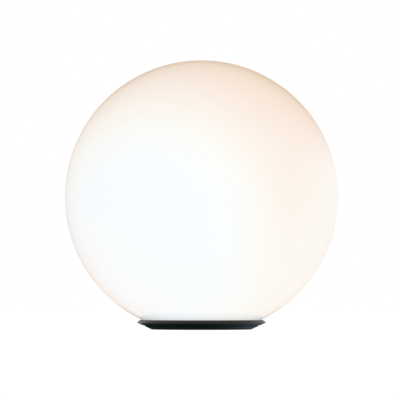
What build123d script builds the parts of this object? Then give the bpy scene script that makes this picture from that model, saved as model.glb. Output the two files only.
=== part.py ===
from build123d import *

import os
from collections import namedtuple
from math import cos, radians, sin, sqrt, tan

# Garden globe light: an opal globe that pushes down over a sealed, rechargeable light module.
#
# The frame is +Z up, in millimetres, with the origin on the surface that the light stands on, under the
# centre of the globe. A collar is bonded into the globe's opening. It slides over the module's housing,
# where two rubber rings grip it, and stands on a flat gasket in a shallow black pan. The pan carries the
# module: two battery cells, a control board, and a plate of light-emitting diodes under a frosted dome.
# The underside has a push button, a charging port behind a small hinged door, and a socket for a ground
# spike.

# ---------------------------------------------------------------- driving dimensions
# Spike socket, in the middle of the base
socket_bore_radius = 7.5
socket_bore_depth = 22.0
socket_wall = 2.0
socket_flange_width = 2.5
socket_flange_height = 1.0
socket_seal_height = 0.4
socket_nut_grip = 1.3
socket_nut_height = 1.8

# Battery cells and their holder
cell_radius = 9.2
cell_length = 65.0
cell_nub_radius = 3.0
cell_nub_height = 0.3
socket_cell_gap = 1.5
holder_base = 1.6
holder_fit = 0.15
trough_rise = 4.2
trough_rim = 0.7
holder_end_wall = 1.6
holder_end_rise = 13.0
holder_end_width = 16.0
tab_thickness = 0.4
tab_width = 8.0
tab_rise = 8.0
tab_foot = 2.7
pad_thickness = 4.2
pad_length = 20.0
pad_width = 12.0

# Charging port, its door and its board
port_length = 8.94
port_width = 3.26
port_shell_wall = 0.3
port_depth = 6.5
tongue_length = 6.7
tongue_thickness = 0.7
tongue_recess = 0.8
port_ceiling = 1.5
port_seal_width = 1.2
port_seal_height = 1.0
port_post_spacing = 16.0
port_board_margin = 3.0
port_board_width = 10.0
port_board_thickness = 1.2
tower_wall = 1.5
tower_end_wall = 2.0
tower_holder_gap = 1.75
door_width = 10.0
door_thickness = 1.5
door_recess = 0.1
door_gap = 0.35
door_root_gap = 0.5
door_arm = 2.1
door_pin_radius = 0.6
door_pin_snap = 0.1
door_pin_fit = 0.05
door_knuckle_radius = 1.2
door_knuckle_length = 6.0
door_pin_length = 10.4
door_swing_room = 1.9
door_end_margin = 2.5
door_corner_radius = 1.0
door_pull_radius = 2.4
door_seal_margin = 1.25
door_seal_height = 1.1
door_seal_lip = 1.2

# Power button, its switch and the status light
button_radius = 6.0
button_gap = 0.2
button_recess = 0.15
button_flange_width = 1.4
button_flange_height = 0.8
button_flange_gap = 0.1
button_dish_width = 3.0
button_dish_depth = 0.7
switch_width = 6.0
switch_height = 2.7
switch_rise = 1.6
plunger_radius = 1.7
plunger_gap = 0.1
plunger_engagement = 1.0
plunger_bore_depth = 2.4
button_board_margin = 2.5
button_board_width = 10.5
button_board_thickness = 1.2
light_pipe_radius = 1.2
light_pipe_flange = 1.6
light_pipe_flange_height = 0.6
light_pipe_gap = 0.9
status_light_length = 1.6
status_light_width = 0.8
status_light_height = 0.6
status_light_gap = 0.3
board_post_radius = 2.0
board_post_gap = 0.5
vent_radius = 1.6
vent_head_radius = 2.6
vent_head_height = 1.0
vent_hole_radius = 0.5
vent_gap = 1.3

# Module housing
housing_gap = 1.0
housing_wall = 3.0
deck_thickness = 2.0
boss_count = 6
boss_radius = 3.75
boss_wall_bite = 0.75
ring_groove_depth = 1.4
ring_groove_width = 2.2
ring_groove_rise = 7.7
ring_groove_pitch = 6.0
ring_bore_gap = 0.15
ring_groove_gap = 0.05

# Screws
pan_screw_shank = 1.45
pan_screw_head = 2.8
pan_screw_head_height = 1.2
pan_screw_length = 11.0
small_screw_shank = 0.95
small_screw_head = 1.8
small_screw_head_height = 1.0
small_screw_length = 6.0
screw_recess = 0.1
screw_side_gap = 0.3
screw_bite_gap = 0.05
screw_tip_gap = 0.5
# The arms of the crossed recess, as shares of the head's radius
cross_length_share = 1.1
cross_width_share = 0.28

# Control board and what is soldered to it
board_gap = 0.95
board_thickness = 1.6
board_screw_inset = 6.3
board_screw_count = 4
board_boss_radius = 3.0
main_chip_size = 8.0
main_chip_place = (10.0, 10.0)
driver_chip_size = 5.0
driver_chip_place = (-12.0, 9.0)
charger_chip_size = 4.0
charger_chip_place = (3.0, 19.0)
chip_height = 1.2
inductor_size = 10.0
inductor_height = 4.2
inductor_place = (14.0, -14.0)
inductor_core_radius = 3.6
inductor_core_rise = 0.8
capacitor_radius = 3.0
capacitor_height = 4.0
capacitor_place = (-20.0, -2.0)
capacitor_pitch = 7.5
capacitor_count = 2
component_headroom = 1.2

# Light plate and dome
spreader_inset = 5.0
spreader_thickness = 2.0
light_board_inset = 3.0
light_board_thickness = 1.2
light_edge = 6.0
light_row_pitch = 14.5
outer_light_count = 12
inner_light_count = 6
light_length = 3.5
light_width = 2.8
light_height = 0.8
light_screw_count = 3
light_boss_depth = 2.0
wire_hole_radius = 4.0
dome_screw_gap = 1.2
dome_height = 15.0
dome_wall = 2.0
dome_flange_inset = 1.7
dome_flange_height = 1.8
dome_gasket_height = 0.6
dome_screw_count = 3

# Wires inside the module
wire_radius = 0.7
wire_spacing = 3.2
wire_drift = 2.0
battery_wire_drift = 3.0
light_wire_drift = 5.0
wire_bend_share = 0.45

# Globe and its collar
globe_diameter = 300.0
globe_wall = 2.5
collar_slide_gap = 0.5
collar_wall = 2.5
collar_over_rings = 6.3
collar_flange_width = 4.0
collar_flange_root = 1.2
collar_lead_in = 0.8
bond_gap = 0.15

# Outside of the base, from the floor up
foot_height = 1.2
foot_ledge = 0.5
foot_width = 4.5
foot_key_depth = 0.9
foot_key_width = 2.5
foot_key_inset = 0.4
pan_floor = 2.4
gasket_thickness = 0.7
gasket_margin = 0.4
spigot_wall = 2.6
spigot_height = 2.9
rim_overhang = 9.2
rim_tip_height = 7.3
rim_tip_land = 0.5
rim_bevel_width = 2.2
rim_top_height = 10.0
rim_seam_height = 4.1
rim_seam_gap = 0.6
rim_seam_depth = 1.6
rim_snap_height = 0.6
rim_snap_bite = 0.35
rim_seal_height = 2.2
rim_seal_wall = 0.6
rim_seal_bead_height = 0.6
rim_seal_bead_width = 1.2
rim_seal_gap = 0.3

# Clearance between hard parts of one assembly that are fitted to each other
fit = 0.1
full_turn = 360.0

# How a shape that stands on its own lowest face is placed
standing = (Align.CENTER, Align.CENTER, Align.MIN)

Screw = namedtuple("Screw", "shank head head_height length")
pan_screw = Screw(pan_screw_shank, pan_screw_head, pan_screw_head_height, pan_screw_length)
small_screw = Screw(small_screw_shank, small_screw_head, small_screw_head_height, small_screw_length)

# ---------------------------------------------------------------- derived sizes
# Heights at the bottom of the module
floor_bottom = foot_height
floor_top = floor_bottom + pan_floor
seat_height = floor_top + gasket_thickness

# Socket, cells and holder
socket_outer_radius = socket_bore_radius + socket_wall
socket_flange_radius = socket_outer_radius + socket_flange_width
socket_recess_top = floor_bottom + socket_flange_height + socket_seal_height
socket_top = floor_bottom + socket_bore_depth + socket_wall
holder_base_top = floor_top + holder_base
trough_radius = cell_radius + holder_fit
socket_nut_radius = (socket_outer_radius + socket_nut_grip) / cos(radians(full_turn / 12))
cell_y = socket_outer_radius + socket_cell_gap + cell_radius
cell_height = holder_base_top + trough_radius
cell_end = cell_length / 2
tab_outside = cell_end + cell_nub_height + tab_thickness
holder_end_inside = tab_outside + fit
holder_half_length = holder_end_inside + holder_end_wall
holder_half_width = cell_y + trough_radius + trough_rim

# Charging port and door
door_seal_length = port_length + 2 * door_seal_margin
door_seal_width = port_width + 2 * door_seal_margin
door_end = door_seal_length / 2 + door_end_margin
door_bottom = floor_bottom + door_recess
door_top = door_bottom + door_thickness
pivot_x = -(door_seal_length / 2 + door_end_margin + door_arm - door_knuckle_radius / 2)
pivot_height = floor_bottom + door_knuckle_radius
port_y = holder_half_width + tower_holder_gap + tower_wall + door_width / 2
mouth_height = door_top + door_seal_height + 2 * fit
tower_top = mouth_height + port_ceiling
port_board_bottom = mouth_height + port_depth
port_board_top = port_board_bottom + port_board_thickness
port_board_length = port_post_spacing + 2 * port_board_margin
tower_start = pivot_x - door_swing_room - tower_end_wall
tower_end = port_board_length / 2 + fit
tower_half_width = door_width / 2 + tower_wall
vent_x = tower_end + vent_gap + vent_head_radius
vent_y = port_y - vent_head_radius

# Power button
button_y = -port_y
button_flange_radius = button_radius + button_flange_width
button_face = floor_bottom + button_recess
button_flange_bottom = floor_top + button_flange_gap
button_flange_top = button_flange_bottom + button_flange_height
switch_bottom = button_flange_top + switch_rise
button_board_bottom = switch_bottom + switch_height
button_board_top = button_board_bottom + button_board_thickness
light_pipe_x = button_flange_radius + light_pipe_gap + light_pipe_flange
button_post_x = light_pipe_x + light_pipe_flange + board_post_gap + board_post_radius
button_board_length = 2 * (button_post_x + button_board_margin)

# Housing, which clears everything that stands in the pan
farthest_corners = (
    (tower_start, port_y + tower_half_width),
    (tower_end, port_y + tower_half_width),
    (holder_half_length, holder_half_width),
    (button_board_length / 2, port_y + button_board_width / 2),
)
housing_inner_radius = max(sqrt(x**2 + y**2) for x, y in farthest_corners) + housing_gap
housing_radius = housing_inner_radius + housing_wall
boss_circle = housing_inner_radius - boss_radius + boss_wall_bite
pad_radius = housing_inner_radius - boss_circle - fit
ring_heights = [seat_height + ring_groove_rise + k * ring_groove_pitch for k in (0, 1)]
screw_seat = floor_bottom + screw_recess + pan_screw.head_height

# Boards and dome
board_bottom = max(cell_height + cell_radius, socket_top) + pad_thickness
board_top = board_bottom + board_thickness
board_radius = boss_circle - boss_radius - board_gap
board_screw_circle = board_radius - board_screw_inset
deck_bottom = board_top + max(inductor_height, capacitor_height) + component_headroom
deck_top = deck_bottom + deck_thickness
dome_radius = boss_circle - small_screw.head - dome_screw_gap
spreader_radius = dome_radius - spreader_inset
spreader_top = deck_top + spreader_thickness
light_board_radius = spreader_radius - light_board_inset
light_board_top = spreader_top + light_board_thickness
outer_light_circle = light_board_radius - light_edge
inner_light_circle = outer_light_circle - light_row_pitch
light_screw_circle = (outer_light_circle + inner_light_circle) / 2
dome_gasket_top = deck_top + dome_gasket_height
dome_flange_radius = housing_radius - dome_flange_inset
dome_flange_top = dome_gasket_top + dome_flange_height
dome_sphere_radius = (dome_radius**2 + dome_height**2) / (2 * dome_height)
dome_centre = dome_flange_top + dome_height - dome_sphere_radius
dome_inner_radius = sqrt((dome_sphere_radius - dome_wall) ** 2 - (dome_flange_top - dome_centre) ** 2)

# Collar and globe
collar_inner_radius = housing_radius + collar_slide_gap
collar_outer_radius = collar_inner_radius + collar_wall
collar_flange_radius = collar_outer_radius + collar_flange_width
collar_top = ring_heights[-1] + collar_over_rings
globe_radius = globe_diameter / 2
opening_radius = collar_outer_radius + bond_gap
globe_edge_height = seat_height + collar_flange_root + bond_gap
globe_centre = globe_edge_height + sqrt(globe_radius**2 - opening_radius**2)

# Outside of the base
foot_radius = collar_outer_radius + foot_ledge
foot_inner_radius = foot_radius - foot_width
foot_key_radius = foot_radius - foot_key_inset
spigot_inner_radius = collar_flange_radius + 2 * gasket_margin
spigot_outer_radius = spigot_inner_radius + spigot_wall
spigot_top = floor_top + spigot_height
rim_bore = spigot_outer_radius + fit
rim_tip_radius = spigot_outer_radius + rim_overhang
rim_top_radius = rim_tip_radius - rim_bevel_width
rim_shelf = rim_top_height - rim_seal_height
rim_seal_top = rim_top_height + rim_seal_bead_height


def slope_radius(height):
    """Radius of the base's sloping outside at a height above the floor."""
    return foot_radius + (rim_tip_radius - foot_radius) * height / rim_tip_height


def seal_radius(height):
    """Radius at which the rim's seal faces the ball, at a height above the floor."""
    return sqrt((globe_radius + rim_seal_gap) ** 2 - (globe_centre - height) ** 2)


rim_lip_radius = seal_radius(rim_top_height) + rim_seal_wall


# ---------------------------------------------------------------- small makers
def turned(*corners):
    """A solid turned about the Z axis, from the (radius, height) corners of its section."""
    return revolve(Plane.XZ * make_face(Polyline(*corners, close=True)), Axis.Z)


def rod(radius, bottom, top, x=0.0, y=0.0):
    """A round upright rod between two heights."""
    return Pos(x, y, bottom) * Cylinder(radius, top - bottom, align=standing)


def ring(inner, outer, bottom, top):
    """A flat or tall ring about the Z axis."""
    return rod(outer, bottom, top) - rod(inner, bottom, top)


def block(x_size, y_size, bottom, top, x=0.0, y=0.0):
    """An upright block centred on (x, y)."""
    return Pos(x, y, bottom) * Box(x_size, y_size, top - bottom, align=standing)


def span(x_start, x_end, y_start, y_end, bottom, top):
    """An upright block between two places in X and two in Y."""
    x = (x_start + x_end) / 2
    y = (y_start + y_end) / 2
    return block(x_end - x_start, y_end - y_start, bottom, top, x, y)


def pill(length, width, bottom, top, x=0.0, y=0.0):
    """An upright block with fully round ends, long in X."""
    return Pos(x, y, bottom) * extrude(SlotOverall(length, width), top - bottom)


def ball(radius):
    """A ball about the globe's centre."""
    return Pos(0, 0, globe_centre) * Sphere(radius)


def around(count, radius, start=0.0):
    """Evenly spaced (x, y) places on a circle."""
    angles = [radians(start + full_turn * k / count) for k in range(count)]
    return [(radius * cos(angle), radius * sin(angle)) for angle in angles]


def gathered(shapes):
    """One node of several separate solids."""
    return Compound([solid for shape in shapes for solid in shape.solids()])


# ---------------------------------------------------------------- screws
def driver_cross(screw, bottom, top, x, y):
    """The crossed recess that a screwdriver turns."""
    long = cross_length_share * screw.head
    short = cross_width_share * screw.head
    return block(long, short, bottom, top, x, y) + block(short, long, bottom, top, x, y)


def screw_up(screw, seat, x, y):
    """A screw driven upwards, whose head hangs below the seat height."""
    head_bottom = seat - screw.head_height
    body = rod(screw.head, head_bottom, seat, x, y) + rod(screw.shank, seat, seat + screw.length, x, y)
    return body - driver_cross(screw, head_bottom, head_bottom + screw.head_height / 2, x, y)


def screw_down(screw, seat, x, y):
    """A screw driven downwards, whose head stands on the seat height."""
    head_top = seat + screw.head_height
    body = rod(screw.head, seat, head_top, x, y) + rod(screw.shank, seat - screw.length, seat, x, y)
    return body - driver_cross(screw, head_top - screw.head_height / 2, head_top, x, y)


def pilot_up(screw, seat, x, y):
    """The hole that a screw driven upwards bites into."""
    return rod(screw.shank + screw_bite_gap, seat, seat + screw.length + screw_tip_gap, x, y)


def pilot_down(screw, seat, x, y):
    """The hole that a screw driven downwards bites into."""
    return rod(screw.shank + screw_bite_gap, seat - screw.length - screw_tip_gap, seat, x, y)


def passage(screw, bottom, top, x, y):
    """The hole that a screw's shank passes through freely."""
    return rod(screw.shank + screw_side_gap, bottom, top, x, y)


# ---------------------------------------------------------------- wires
def wire(points):
    """A round wire along straight runs, joined by arcs as large as the shorter of their two runs allows."""
    radii = []
    for before, corner, after in zip(points, points[1:], points[2:]):
        arriving = Vector(*corner) - Vector(*before)
        leaving = Vector(*after) - Vector(*corner)
        half_turn = radians(arriving.get_angle(leaving)) / 2
        radii.append(wire_bend_share * min(arriving.length, leaving.length) / tan(half_turn))
    path = FilletPolyline(*points, radius=radii)
    tube = sweep(Plane(origin=points[0], z_dir=path % 0) * Circle(wire_radius), path)
    expected = Circle(wire_radius).area * path.length
    print(f"wire of {path.length:.1f} mm, volume {tube.volume / expected:.4f} of section x length,",
          "bend radii", [round(radius, 1) for radius in radii])
    return tube


def riser(x, y, bottom, top, x_drift=0.0, y_drift=0.0):
    """A wire that rises from one face to another and drifts sideways in the middle third."""
    third = (top - bottom) / 3
    start = (x, y)
    end = (x + x_drift, y + y_drift)
    return wire([(*start, bottom), (*start, bottom + third), (*end, top - third), (*end, top)])


# ---------------------------------------------------------------- places of screws, posts and the hinge
def hinge_place():
    """The middle of the door's hinge, with Z turned along the pin."""
    return Pos(pivot_x, port_y, pivot_height) * Rot(90, 0, 0)


def pan_screw_places():
    """The six screws that hold the pan to the housing."""
    return around(boss_count, boss_circle)


def port_post_places():
    """The two posts under the port board."""
    return [(side * port_post_spacing / 2, port_y) for side in (-1, 1)]


def button_post_places():
    """The two posts under the button board."""
    return [(side * button_post_x, button_y) for side in (-1, 1)]


def board_screw_places():
    """The four screws of the control board, midway between the axes."""
    return around(board_screw_count, board_screw_circle, full_turn / board_screw_count / 2)


def light_screw_places():
    """The three screws of the light board, between its two rings of lights."""
    return around(light_screw_count, light_screw_circle, full_turn / 12)


def dome_screw_places():
    """Three of the housing's columns, which the dome's screws bite into from above."""
    return around(dome_screw_count, boss_circle)


# ---------------------------------------------------------------- globe
def make_globe_shell():
    """The opal ball, open at the bottom."""
    opening = rod(opening_radius, globe_centre - globe_radius - fit, globe_centre)
    return ball(globe_radius) - ball(globe_radius - globe_wall) - opening


def make_neck_collar():
    """The tube bonded into the opening, with a flange that follows the outside of the ball."""
    flange_top = globe_centre - sqrt(globe_radius**2 - collar_flange_radius**2)
    body = turned(
        (collar_inner_radius + collar_lead_in, seat_height),
        (collar_flange_radius, seat_height),
        (collar_flange_radius, flange_top),
        (collar_outer_radius, flange_top),
        (collar_outer_radius, collar_top),
        (collar_inner_radius, collar_top),
        (collar_inner_radius, seat_height + collar_lead_in),
    )
    return body - (ball(globe_radius + bond_gap) - rod(collar_outer_radius, 0, globe_centre))


# ---------------------------------------------------------------- outside of the base
def make_foot_ring():
    """The rubber ring that the light stands on, with a rib that keys it into the pan."""
    key_top = foot_height + foot_key_depth
    return turned(
        (foot_inner_radius, 0),
        (foot_radius, 0),
        (slope_radius(foot_height), foot_height),
        (foot_key_radius, foot_height),
        (foot_key_radius, key_top),
        (foot_key_radius - foot_key_width, key_top),
        (foot_key_radius - foot_key_width, foot_height),
        (foot_inner_radius, foot_height),
    )


def snap_bead(radius, height):
    """Three corners of the triangular snap between the spigot and the rim ring, from the bottom up."""
    middle = (rim_seam_height + spigot_top) / 2
    return [(radius, middle - height), (radius - rim_snap_bite, middle), (radius, middle + height)]


def make_rim_ring():
    """The upper tier of the base: a bevelled ring that snaps over the pan's spigot."""
    overhang = rim_seam_height + rim_seam_gap
    tongue = slope_radius(rim_seam_height) - rim_seam_depth
    return turned(
        (rim_bore, rim_seam_height),
        (tongue, rim_seam_height),
        (tongue, overhang),
        (slope_radius(overhang), overhang),
        (rim_tip_radius, rim_tip_height),
        (rim_tip_radius, rim_tip_height + rim_tip_land),
        (rim_top_radius, rim_top_height),
        (rim_lip_radius, rim_top_height),
        (rim_lip_radius, rim_shelf),
        (rim_bore, rim_shelf),
        *reversed(snap_bead(rim_bore, rim_snap_height)),
    )


def make_rim_seal():
    """The soft lip between the rim and the ball, with a bead that covers the rim's inner edge."""
    strip = ring(rim_bore + 2 * gasket_margin, rim_lip_radius, rim_shelf, rim_top_height)
    bead_radius = seal_radius(rim_seal_top) + rim_seal_bead_width
    bead = ring(seal_radius(rim_top_height), bead_radius, rim_top_height, rim_seal_top)
    return strip + bead - ball(globe_radius + rim_seal_gap)


def pan_body():
    """The pan's turned shape: its floor, its sloping outside and the spigot that carries the rim ring."""
    return turned(
        (0, floor_bottom),
        (slope_radius(floor_bottom), floor_bottom),
        (slope_radius(rim_seam_height), rim_seam_height),
        (spigot_outer_radius, rim_seam_height),
        *snap_bead(spigot_outer_radius, rim_snap_height + fit),
        (spigot_outer_radius, spigot_top),
        (spigot_inner_radius, spigot_top),
        (spigot_inner_radius, floor_top),
        (0, floor_top),
    )


def pan_uprights():
    """What stands on the pan's floor: screw pads, the block round the port and the small boards' posts."""
    root = floor_top - pan_floor / 2
    near = port_y - tower_half_width
    far = port_y + tower_half_width
    shapes = [rod(pad_radius, root, seat_height, x, y) for x, y in pan_screw_places()]
    shapes.append(span(tower_start, tower_end, near, far, root, tower_top))
    shapes += [rod(board_post_radius, root, port_board_bottom, x, y) for x, y in port_post_places()]
    shapes += [rod(board_post_radius, root, button_board_bottom, x, y) for x, y in button_post_places()]
    return shapes


def door_pocket():
    """What the pan gives up to the door: its recess, its hinge and the space over its seal."""
    below = floor_bottom - fit
    root = pivot_x + door_arm - door_root_gap
    width = door_width + 2 * door_gap
    plate_end = door_end + door_gap
    plate = block(plate_end - root, width, below, door_top + fit, (root + plate_end) / 2, port_y)
    knuckle_top = pivot_height + door_knuckle_radius + door_gap
    knuckle_start = pivot_x - door_swing_room
    knuckle_end = root + fit
    knuckle_length = knuckle_end - knuckle_start
    knuckle_width = door_knuckle_length + 2 * fit
    knuckle_x = (knuckle_start + knuckle_end) / 2
    knuckle = block(knuckle_length, knuckle_width, below, knuckle_top, knuckle_x, port_y)
    pull = rod(door_pull_radius, below, door_top + fit, door_end, port_y)
    seal_room = 2 * door_gap
    seal = pill(door_seal_length + seal_room, door_seal_width + seal_room, below, mouth_height, 0, port_y)
    return [plate, knuckle, pull, seal]


def pin_bed():
    """The bed that the door's pin turns in, and the narrower slot that the pin snaps through."""
    length = door_pin_length + fit
    bed = hinge_place() * Cylinder(door_pin_radius + door_pin_fit, length)
    slot = block(2 * (door_pin_radius - door_pin_snap), length, 0, pivot_height, pivot_x, port_y)
    return bed + slot


def pan_openings():
    """The pan's holes for the socket, port, button, status light, vent and foot ring."""
    above = floor_top + fit
    key_top = foot_height + foot_key_depth + fit
    return [
        rod(socket_outer_radius + fit, 0, above),
        rod(socket_flange_radius + fit, 0, socket_recess_top),
        pill(port_length + 2 * fit, port_width + 2 * fit, floor_bottom, tower_top + fit, 0, port_y),
        rod(button_flange_radius + button_dish_width / 2, 0, floor_bottom + button_dish_depth, 0, button_y),
        rod(button_radius + button_gap, 0, above, 0, button_y),
        rod(light_pipe_radius + fit, 0, above, light_pipe_x, button_y),
        rod(vent_radius + fit, 0, above, vent_x, vent_y),
        rod(vent_head_radius + fit, 0, floor_bottom + vent_head_height, vent_x, vent_y),
        ring(foot_key_radius - foot_key_width - fit, foot_key_radius + fit, 0, key_top),
    ]


def pan_screw_holes():
    """Counterbored holes for the pan's screws, and pilot holes in the posts."""
    holes = []
    for x, y in pan_screw_places():
        holes.append(passage(pan_screw, 0, seat_height + fit, x, y))
        holes.append(rod(pan_screw.head + screw_side_gap, 0, screw_seat, x, y))
    holes += [pilot_down(small_screw, port_board_top, x, y) for x, y in port_post_places()]
    holes += [pilot_down(small_screw, button_board_top, x, y) for x, y in button_post_places()]
    return holes


def make_base_pan():
    """The black pan with all that is moulded into it and cut from it."""
    pan = pan_body()
    for upright in pan_uprights():
        pan += upright
    for cut in door_pocket() + [pin_bed()] + pan_openings() + pan_screw_holes():
        pan -= cut
    return pan


# ---------------------------------------------------------------- gaskets, housing and its rings
def make_seat_gasket():
    """The flat gasket that the globe's collar stands on."""
    return ring(housing_radius + gasket_margin, collar_flange_radius + gasket_margin, floor_top, seat_height)


def make_housing_gasket():
    """The flat gasket between the housing's wall and the pan."""
    return ring(housing_inner_radius + fit, housing_radius - fit, floor_top, seat_height)


def make_module_housing():
    """The white housing: a wall, a deck on top, six columns for screws and bosses under the deck."""
    housing = rod(housing_radius, seat_height, deck_top) - rod(housing_inner_radius, seat_height, deck_bottom)
    deck_middle = deck_bottom + deck_thickness / 2
    inside = rod(housing_inner_radius + housing_wall / 2, seat_height, deck_middle)
    for x, y in pan_screw_places():
        housing += rod(boss_radius, seat_height, deck_middle, x, y) & inside
    for x, y in board_screw_places():
        housing += rod(board_boss_radius, board_top, deck_middle, x, y)
    for x, y in light_screw_places():
        housing += rod(board_boss_radius, deck_bottom - light_boss_depth, deck_middle, x, y)
    groove_radius = housing_radius - ring_groove_depth
    for height in ring_heights:
        low = height - ring_groove_width / 2
        housing -= ring(groove_radius, housing_radius + fit, low, low + ring_groove_width)
    housing -= rod(wire_hole_radius, deck_bottom - fit, deck_top + fit)
    for x, y in pan_screw_places():
        housing -= pilot_up(pan_screw, screw_seat, x, y)
    for x, y in board_screw_places():
        housing -= pilot_up(small_screw, board_bottom, x, y)
    for x, y in light_screw_places():
        housing -= pilot_down(small_screw, light_board_top, x, y)
    for x, y in dome_screw_places():
        housing -= pilot_down(small_screw, dome_flange_top, x, y)
    return housing


def make_collar_o_rings():
    """Two rubber rings in the housing's grooves, which grip the collar."""
    inner = housing_radius - ring_groove_depth + ring_groove_gap
    outer = collar_inner_radius - ring_bore_gap
    section = Circle((outer - inner) / 2)
    middle = (inner + outer) / 2
    return gathered([revolve(Plane.XZ * Pos(middle, height) * section, Axis.Z) for height in ring_heights])


def make_pan_screws():
    """The six screws that go up through the pan into the housing's columns."""
    return gathered([screw_up(pan_screw, screw_seat, x, y) for x, y in pan_screw_places()])


# ---------------------------------------------------------------- spike socket
def make_spike_socket():
    """A blind socket for a ground spike, with a flange under the pan."""
    return turned(
        (socket_bore_radius, floor_bottom),
        (socket_flange_radius, floor_bottom),
        (socket_flange_radius, floor_bottom + socket_flange_height),
        (socket_outer_radius, floor_bottom + socket_flange_height),
        (socket_outer_radius, socket_top),
        (0, socket_top),
        (0, floor_bottom + socket_bore_depth),
        (socket_bore_radius, floor_bottom + socket_bore_depth),
    )


def make_socket_seal():
    """The flat ring between the socket's flange and the pan."""
    bottom = floor_bottom + socket_flange_height
    return ring(socket_outer_radius + fit, socket_flange_radius - fit, bottom, socket_recess_top)


def make_socket_nut():
    """The six-sided nut that clamps the socket, the pan and the battery holder together."""
    hexagon = extrude(RegularPolygon(socket_nut_radius, 6), socket_nut_height)
    top = holder_base_top + socket_nut_height
    bore = rod(socket_outer_radius + screw_bite_gap, holder_base_top, top)
    return Pos(0, 0, holder_base_top) * hexagon - bore


# ---------------------------------------------------------------- battery
def along_x(radius, start, end, y):
    """A round rod along X at the height of the cells."""
    return Pos((start + end) / 2, y, cell_height) * Rot(0, 90, 0) * Cylinder(radius, end - start)


def make_battery_holder():
    """The tray under the cells: a plate, two troughs with low sides, and walls at the cells' ends."""
    trough_top = holder_base_top + trough_rise
    tray = block(2 * holder_half_length, 2 * holder_half_width, floor_top, holder_base_top)
    for side in (-1, 1):
        near = side * (cell_y - trough_radius - trough_rim + fit)
        far = side * holder_half_width
        tray += span(-cell_end, cell_end, min(near, far), max(near, far), floor_top, trough_top)
        for end in (-1, 1):
            wall_x = end * (holder_end_inside + holder_end_wall / 2)
            wall_top = holder_base_top + holder_end_rise
            tray += block(holder_end_wall, holder_end_width, floor_top, wall_top, wall_x, side * cell_y)
        tray -= along_x(trough_radius, -holder_end_inside, holder_end_inside, side * cell_y)
    tray -= rod(socket_outer_radius + 2 * fit, floor_top, trough_top)
    return tray - rod(socket_nut_radius + screw_side_gap, holder_base_top, trough_top)


def cell(y, direction):
    """One battery cell along X, with the small nub of its positive end."""
    can = along_x(cell_radius, -cell_end, cell_end, y)
    tip = direction * (cell_end + cell_nub_height)
    return can + along_x(cell_nub_radius, min(0, tip), max(0, tip), y)


def make_battery_cells():
    """Two cells side by side, turned opposite ways."""
    return gathered([cell(cell_y, 1), cell(-cell_y, -1)])


def make_cell_tabs():
    """Two terminal tabs with a foot for a wire, and the strip that links the cells at the other end."""
    inside = cell_end + cell_nub_height
    bottom = cell_height - tab_width / 2
    top = cell_height + tab_rise
    shapes = []
    for side in (-1, 1):
        plate = block(tab_thickness, tab_width, bottom, top, inside + tab_thickness / 2, side * cell_y)
        foot = block(tab_foot, tab_width, top - tab_thickness, top, inside + tab_foot / 2, side * cell_y)
        shapes.append(plate + foot)
    link_top = cell_height + tab_width / 2
    link_x = -inside - tab_thickness / 2
    shapes.append(block(tab_thickness, 2 * cell_y + tab_width, bottom, link_top, link_x))
    return gathered(shapes)


def make_cell_pads():
    """Two foam pads between the cells and the control board."""
    pads = [block(pad_length, pad_width, cell_height, board_bottom, 0, side * cell_y) for side in (-1, 1)]
    cells = [along_x(trough_radius, -cell_end, cell_end, side * cell_y) for side in (-1, 1)]
    return gathered([pad - can for pad, can in zip(pads, cells)])


def battery_wire(side):
    """One lead from a terminal tab up to the control board."""
    x = cell_end + cell_nub_height + tab_foot / 2 + fit
    return riser(x, side * cell_y, cell_height + tab_rise, board_bottom, x_drift=-battery_wire_drift)


def make_battery_wire_plus():
    """The positive lead."""
    return battery_wire(1)


def make_battery_wire_minus():
    """The negative lead."""
    return battery_wire(-1)


# ---------------------------------------------------------------- control board
def make_control_board():
    """The round control board, held under the deck by four screws."""
    board = rod(board_radius, board_bottom, board_top)
    for x, y in board_screw_places():
        board -= passage(small_screw, board_bottom, board_top, x, y)
    return board


def chip(size, place):
    """A flat square chip on the control board."""
    return block(size, size, board_top, board_top + chip_height, *place)


def make_board_chips():
    """The main chip, the light driver and the battery charger."""
    sizes = (main_chip_size, driver_chip_size, charger_chip_size)
    places = (main_chip_place, driver_chip_place, charger_chip_place)
    return gathered([chip(size, place) for size, place in zip(sizes, places)])


def make_board_inductor():
    """The driver's inductor: a square body with a round core on top."""
    top = board_top + inductor_height
    body = block(inductor_size, inductor_size, board_top, top - inductor_core_rise, *inductor_place)
    return body + rod(inductor_core_radius, board_top, top, *inductor_place)


def make_board_capacitors():
    """A row of round capacitors."""
    x, y = capacitor_place
    places = [(x, y - k * capacitor_pitch) for k in range(capacitor_count)]
    top = board_top + capacitor_height
    return gathered([rod(capacitor_radius, board_top, top, *place) for place in places])


def make_board_screws():
    """The four screws that go up through the control board into the deck's bosses."""
    return gathered([screw_up(small_screw, board_bottom, x, y) for x, y in board_screw_places()])


def make_light_wires():
    """The pair of leads from the control board up through the deck to the light board."""
    return gathered(
        [riser(side * wire_spacing / 2, -light_wire_drift, board_top, spreader_top, y_drift=light_wire_drift)
         for side in (-1, 1)]
    )


def make_port_wires():
    """The pair of leads from the port board up to the control board."""
    y = port_y - wire_spacing
    return gathered(
        [riser(side * wire_spacing, y, port_board_top, board_bottom, y_drift=-wire_drift) for side in (-1, 1)]
    )


def make_button_wires():
    """The three leads from the button board up to the control board."""
    y = button_y + wire_spacing
    places = [place * wire_spacing for place in (-1, 0, 1)]
    return gathered([riser(x, y, button_board_top, board_bottom, y_drift=wire_drift) for x in places])


# ---------------------------------------------------------------- light plate and dome
def make_heat_spreader():
    """The aluminium plate on the deck, under the light board."""
    plate = rod(spreader_radius, deck_top, spreader_top) - rod(wire_hole_radius, deck_top, spreader_top)
    for x, y in light_screw_places():
        plate -= passage(small_screw, deck_top, spreader_top, x, y)
    return plate


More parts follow.
